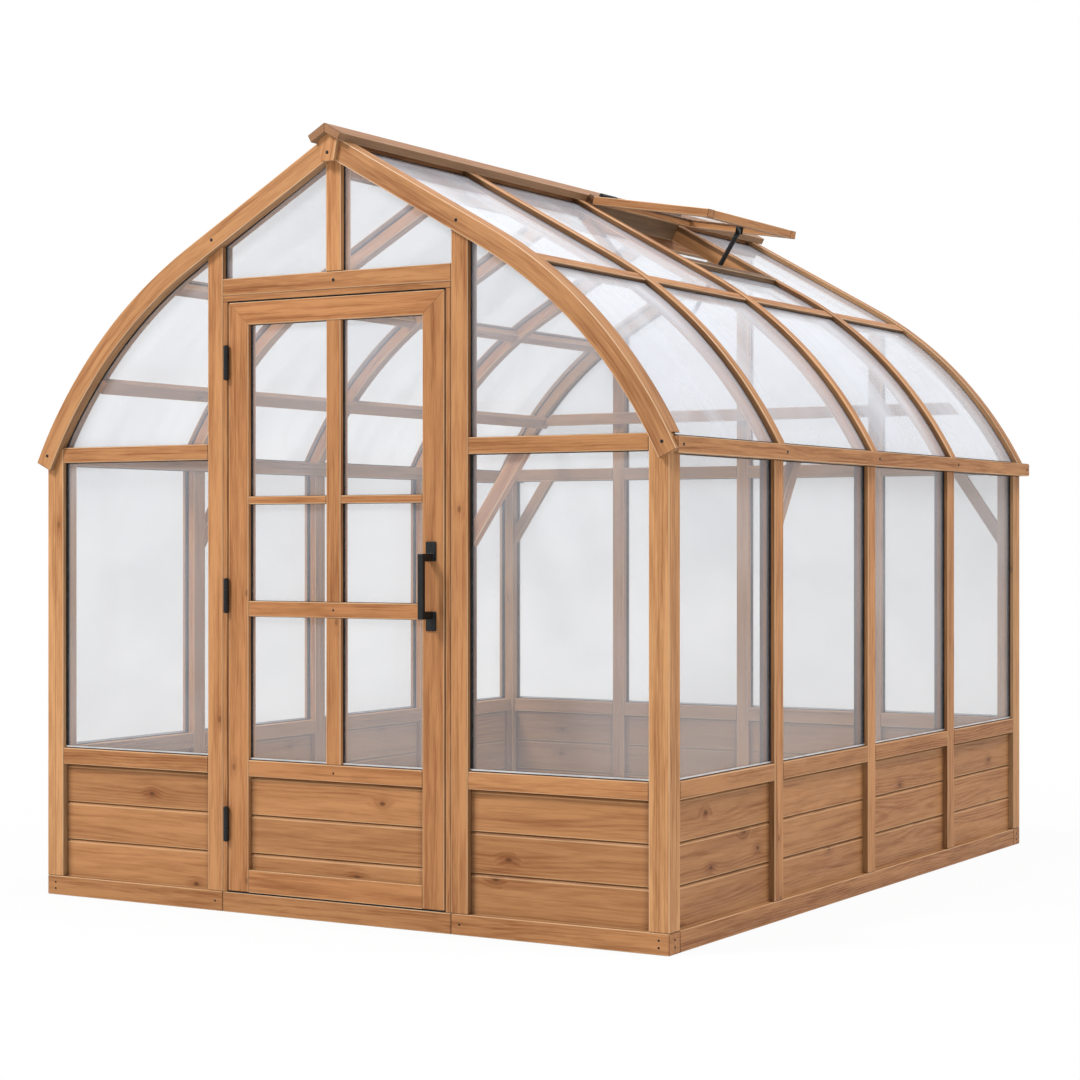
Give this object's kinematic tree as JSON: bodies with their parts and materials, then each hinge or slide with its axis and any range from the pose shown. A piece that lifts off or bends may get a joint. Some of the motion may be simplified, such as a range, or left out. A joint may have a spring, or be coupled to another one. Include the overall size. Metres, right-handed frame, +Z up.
{
  "type": "wooden greenhouse",
  "caption": "Wooden greenhouse with a glazed curved roof, boarded lower walls, a hinged glazed door and a roof vent held by a sliding stay.",
  "frame": {"origin": "middle of the footprint on the ground", "axes": "+X to the right seen from the door side, +Y back along the ridge, +Z up; the door faces -Y"},
  "size_m": [2.5064, 3.144, 2.5671],
  "materials": {
    "base": "oiled honey tone, satin",
    "posts": "oiled honey tone, satin",
    "rails": "oiled honey tone, satin",
    "boards": "oiled honey tone, satin",
    "eave": "oiled honey tone, satin",
    "arches": "oiled honey tone, satin",
    "ribs": "oiled honey tone, satin",
    "roof_timber": "oiled honey tone, satin",
    "ridge_cap": "oiled, darker",
    "wall_glass": "clear, smooth",
    "roof_glass": "clear, smooth",
    "hardware": "matt black coating",
    "lining": "oiled honey tone, satin",
    "door_timber": "oiled honey tone, satin",
    "door_glass": "clear, smooth",
    "door_hardware": "matt black coating",
    "vent_timber": "oiled honey tone, satin",
    "vent_glass": "clear, smooth",
    "vent_hardware": "matt black coating",
    "stay_metal": "matt black coating"
  },
  "bodies": {
    "frame": {"base_rail_front_left": "base", "base_rail_front_right": "base", "door_threshold": "base", "base_rails_side": "base", "base_rail_rear": "base", "corner_posts": "posts", "door_studs": "posts", "side_studs_left": "posts", "side_studs_right": "posts", "rear_studs": "posts", "king_post": "posts", "sill_rails_front": "rails", "sill_rails_side": "rails", "sill_rails_rear": "rails", "crossbars": "rails", "door_header": "rails", "knee_braces": "rails", "inner_ties": "rails", "boards_front": "boards", "boards_left": "boards", "boards_right": "boards", "boards_rear": "boards", "eave_rail_left": "eave", "eave_rail_right": "eave", "arch_front_left": "arches", "arch_front_right": "arches", "arches_rear": "arches", "keystone_plate": "arches", "ribs_left": "ribs", "ribs_right": "ribs", "ridge_beam": "roof_timber", "purlins": "roof_timber", "vent_trimmers": "roof_timber", "ridge_cap": "ridge_cap", "wall_panes": "wall_glass", "gable_panes": "wall_glass", "roof_panes_flat": "roof_glass", "roof_panes_curved": "roof_glass", "frame_screws": "hardware", "fixed_hinge_leaves": "hardware", "hinge_pins": "hardware", "door_catch": "hardware", "stay_bracket": "hardware", "door_lining": "lining"},
    "door": {"door_stiles": "door_timber", "door_rails": "door_timber", "door_glazing_bars": "door_timber", "door_boards": "door_timber", "door_panes": "door_glass", "door_hinge_leaves": "door_hardware", "door_handle": "door_hardware", "door_catch_plate": "door_hardware", "door_screws": "door_hardware"},
    "vent": {"vent_sash": "vent_timber", "vent_pane": "vent_glass", "vent_hinge_leaves": "vent_hardware", "vent_bracket": "vent_hardware"},
    "stay_guide_body": {"stay_guide": "stay_metal"},
    "stay_rod_body": {"stay_rod": "stay_metal"}
  },
  "joints": [
    {"name": "door_hinge", "type": "hinge", "parent": "frame", "child": "door", "pos_m": [-0.4285, -1.5345, 1.047], "axis": [0, 0, -1], "range_deg": [0, 110]},
    {"name": "vent_hinge", "type": "hinge", "parent": "frame", "child": "vent", "pos_m": [0.09572, 0.38125, 2.52953], "axis": [0, -1, 0], "range_deg": [-20, 18]},
    {"name": "guide_turn", "type": "hinge", "parent": "frame", "child": "stay_guide_body", "pos_m": [0.38855, 0.38125, 2.20381], "axis": [0, -1, 0], "range_deg": [-10, 9]},
    {"name": "rod_slide", "type": "slide", "parent": "stay_guide_body", "child": "stay_rod_body", "axis": [0.5379, 0, 0.843], "range_m": [-0.14699, 0.13229]}
  ],
  "couplings": [
    {"joint": "guide_turn", "follows": "vent_hinge", "ratio": 0.5},
    {"joint": "rod_slide", "follows": "vent_hinge", "m_per_rad": 0.4211}
  ]
}
